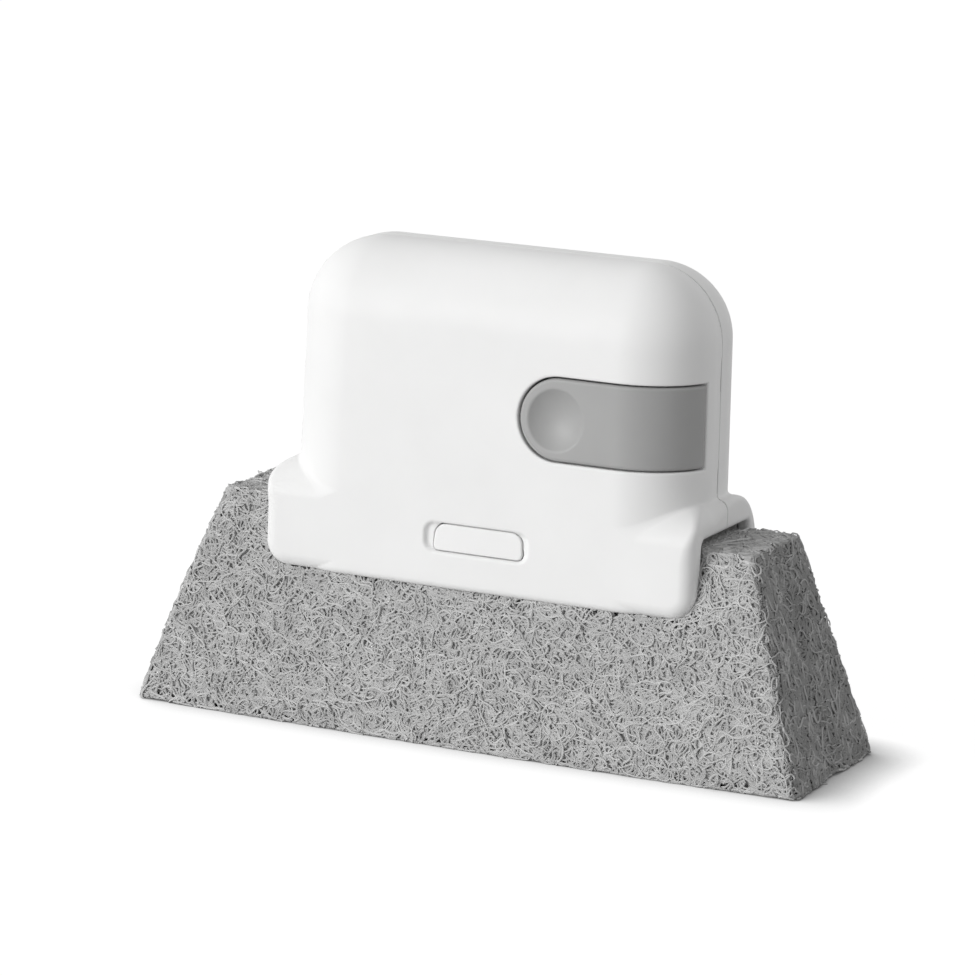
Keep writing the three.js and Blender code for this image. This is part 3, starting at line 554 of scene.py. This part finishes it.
# Name, looks, count, points, step, radius, lowest, highest and how far the tips stand out.
LAYERS = [
    *[(f"mat_deep_{k}", DEEP, 2700, 13, 0.5, 0.22, -0.42, -0.22, 0.0) for k in (1, 2, 3)],
    *[(f"mat_mid_{k}", MID, 2700, 13, 0.5, 0.2, -0.3, -0.08, 0.0) for k in (1, 2, 3)],
    ("mat_top_1", MID, 2000, 17, 0.5, 0.17, -0.15, 0.14, 0.0),
    ("mat_top_2", PALE, 2000, 17, 0.5, 0.17, -0.15, 0.14, 0.0),
    ("mat_stray", PALE, 450, 12, 0.5, 0.15, -0.2, 0.3, 1.2),
]
mat_verts, mat_faces = skin(mat_field, pad_low, pad_high, 1.1)
for name, looks, count, points, step_mm, radius, sink, lift, tip in LAYERS:
    start = onto(mat_field, surface_points(mat_verts, mat_faces, count, rng))
    mat = strands(name, looks, start, rng, points, step_mm, radius, sink, lift, tip)
    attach(mat, "pad_unit")


# Floor, light and camera.
FLOOR_HALF, FLOOR_SEEN, FLOOR_BOUNCE, FLOOR_GLOW = 6.0, 0.15, 0.5, 0.92
# The floor's glow is dimmed by the object's occlusion, taken about a normal leaning towards the key light: a
# painted contact shadow.
PAINTED_SHADOW_LEAN, PAINTED_SHADOW_REACH, PAINTED_SHADOW_POWER = (-0.5, -0.5, 0.71), 0.011, 1.8
SKY_LIGHT, SKY_SEEN = 0.41, 1.0
AZIMUTH, ELEVATION, ROLL = math.radians(24.17), math.radians(11.59), math.radians(2.3)
FOCAL_PX, PHOTO_PX, SENSOR = 4432, 976, 36
AIM_X_PX, AIM_Y_PX, AIM_HEIGHT, DISTANCE = 23.69, 8.18, 0.0458, 0.8003


def seen_directly(tree):
    """One for rays from the eye, a mirror or a clear piece, nought for the rays that light things."""
    path = tree.nodes.new("ShaderNodeLightPath")
    seen = path.outputs["Is Camera Ray"]
    for ray in ("Is Glossy Ray", "Is Transmission Ray"):
        either = tree.nodes.new("ShaderNodeMath")
        either.operation = "MAXIMUM"
        tree.links.new(seen, either.inputs[0])
        tree.links.new(path.outputs[ray], either.inputs[1])
        seen = either.outputs["Value"]
    return seen


floor_look = bpy.data.materials.new("floor")
floor_look.use_nodes = True
tree = floor_look.node_tree
tree.nodes.clear()
output = tree.nodes.new("ShaderNodeOutputMaterial")
lit = tree.nodes.new("ShaderNodeBsdfDiffuse")
lit.inputs["Color"].default_value = (FLOOR_SEEN, FLOOR_SEEN, FLOOR_SEEN, 1)
# Painted shadow: occlusion about a leaned normal dims the floor's glow near the object, darkest on the side
# away from the key light.
lean = tree.nodes.new("ShaderNodeCombineXYZ")
for axis, share in zip("XYZ", PAINTED_SHADOW_LEAN):
    lean.inputs[axis].default_value = share
shadow_occlusion = tree.nodes.new("ShaderNodeAmbientOcclusion")
shadow_occlusion.inputs["Distance"].default_value = PAINTED_SHADOW_REACH
tree.links.new(lean.outputs["Vector"], shadow_occlusion.inputs["Normal"])
painted_shadow = tree.nodes.new("ShaderNodeMath")
painted_shadow.operation = "POWER"
painted_shadow.inputs[1].default_value = PAINTED_SHADOW_POWER
tree.links.new(shadow_occlusion.outputs["AO"], painted_shadow.inputs[0])
glow = tree.nodes.new("ShaderNodeEmission")
glow_with_painted_shadow = tree.nodes.new("ShaderNodeMapRange")
glow_with_painted_shadow.inputs["To Max"].default_value = FLOOR_GLOW
tree.links.new(painted_shadow.outputs["Value"], glow_with_painted_shadow.inputs["Value"])
tree.links.new(glow_with_painted_shadow.outputs["Result"], glow.inputs["Strength"])
seen = tree.nodes.new("ShaderNodeAddShader")
tree.links.new(lit.outputs["BSDF"], seen.inputs[0])
tree.links.new(glow.outputs["Emission"], seen.inputs[1])
bounced = tree.nodes.new("ShaderNodeBsdfDiffuse")
bounced.inputs["Color"].default_value = (FLOOR_BOUNCE, FLOOR_BOUNCE, FLOOR_BOUNCE, 1)
either = tree.nodes.new("ShaderNodeMixShader")
tree.links.new(seen_directly(tree), either.inputs["Fac"])
tree.links.new(bounced.outputs["BSDF"], either.inputs[1])
tree.links.new(seen.outputs["Shader"], either.inputs[2])
tree.links.new(either.outputs["Shader"], output.inputs["Surface"])
floor_mesh = bpy.data.meshes.new("floor")
corners = [(x * FLOOR_HALF, y * FLOOR_HALF, 0) for x, y in ((-1, -1), (1, -1), (1, 1), (-1, 1))]
floor_mesh.from_pydata(corners, [], [(0, 1, 2, 3)])
floor_mesh.materials.append(floor_look)
floor = bpy.data.objects.new("floor", floor_mesh)
bpy.context.scene.collection.objects.link(floor)

world = bpy.data.worlds.new("studio")
bpy.context.scene.world = world
world.use_nodes = True
tree = world.node_tree
sky = tree.nodes["Background"]
sky.inputs["Color"].default_value = (1, 1, 1, 1)
level_of = tree.nodes.new("ShaderNodeMapRange")
level_of.inputs["To Min"].default_value = SKY_LIGHT
level_of.inputs["To Max"].default_value = SKY_SEEN
tree.links.new(seen_directly(tree), level_of.inputs["Value"])
tree.links.new(level_of.outputs["Result"], sky.inputs["Strength"])


def sun(name, towards, strength, spread):
    """A wide, soft light from far away."""
    data = bpy.data.lights.new(name, "SUN")
    data.energy = strength
    data.angle = math.radians(spread)
    lamp = bpy.data.objects.new(name, data)
    lamp.rotation_mode = "QUATERNION"
    lamp.rotation_quaternion = Vector(towards).to_track_quat("Z", "Y")
    bpy.context.scene.collection.objects.link(lamp)


sun("key", (-0.55, -0.82, 0.17), 2.78, 30)
sun("overhead", (-0.45, 0.25, 0.86), 0.4, 40)
sun("fill", (0.8, 0.3, 0.3), 0.5, 70)

flat_back = Vector((math.sin(AZIMUTH), -math.cos(AZIMUTH), 0))
back = flat_back * math.cos(ELEVATION) + Vector((0, 0, math.sin(ELEVATION)))
level = Vector((math.cos(AZIMUTH), math.sin(AZIMUTH), 0))
rise = back.cross(level)
right = level * math.cos(ROLL) + rise * math.sin(ROLL)
upward = rise * math.cos(ROLL) - level * math.sin(ROLL)
place = Vector((0, 0, AIM_HEIGHT)) + back * DISTANCE
aim = (back + right * (AIM_X_PX / FOCAL_PX) + upward * (AIM_Y_PX / FOCAL_PX)).normalized()
right = (right - aim * right.dot(aim)).normalized()
upward = aim.cross(right)
camera_data = bpy.data.cameras.new("camera")
camera_data.sensor_width = SENSOR
camera_data.lens = FOCAL_PX / PHOTO_PX * SENSOR
camera = bpy.data.objects.new("camera", camera_data)
turn = Matrix((right, upward, aim)).transposed().to_4x4()
camera.matrix_world = Matrix.Translation(place) @ turn
bpy.context.scene.collection.objects.link(camera)
bpy.context.scene.camera = camera
bpy.context.scene.view_settings.view_transform = "Standard"
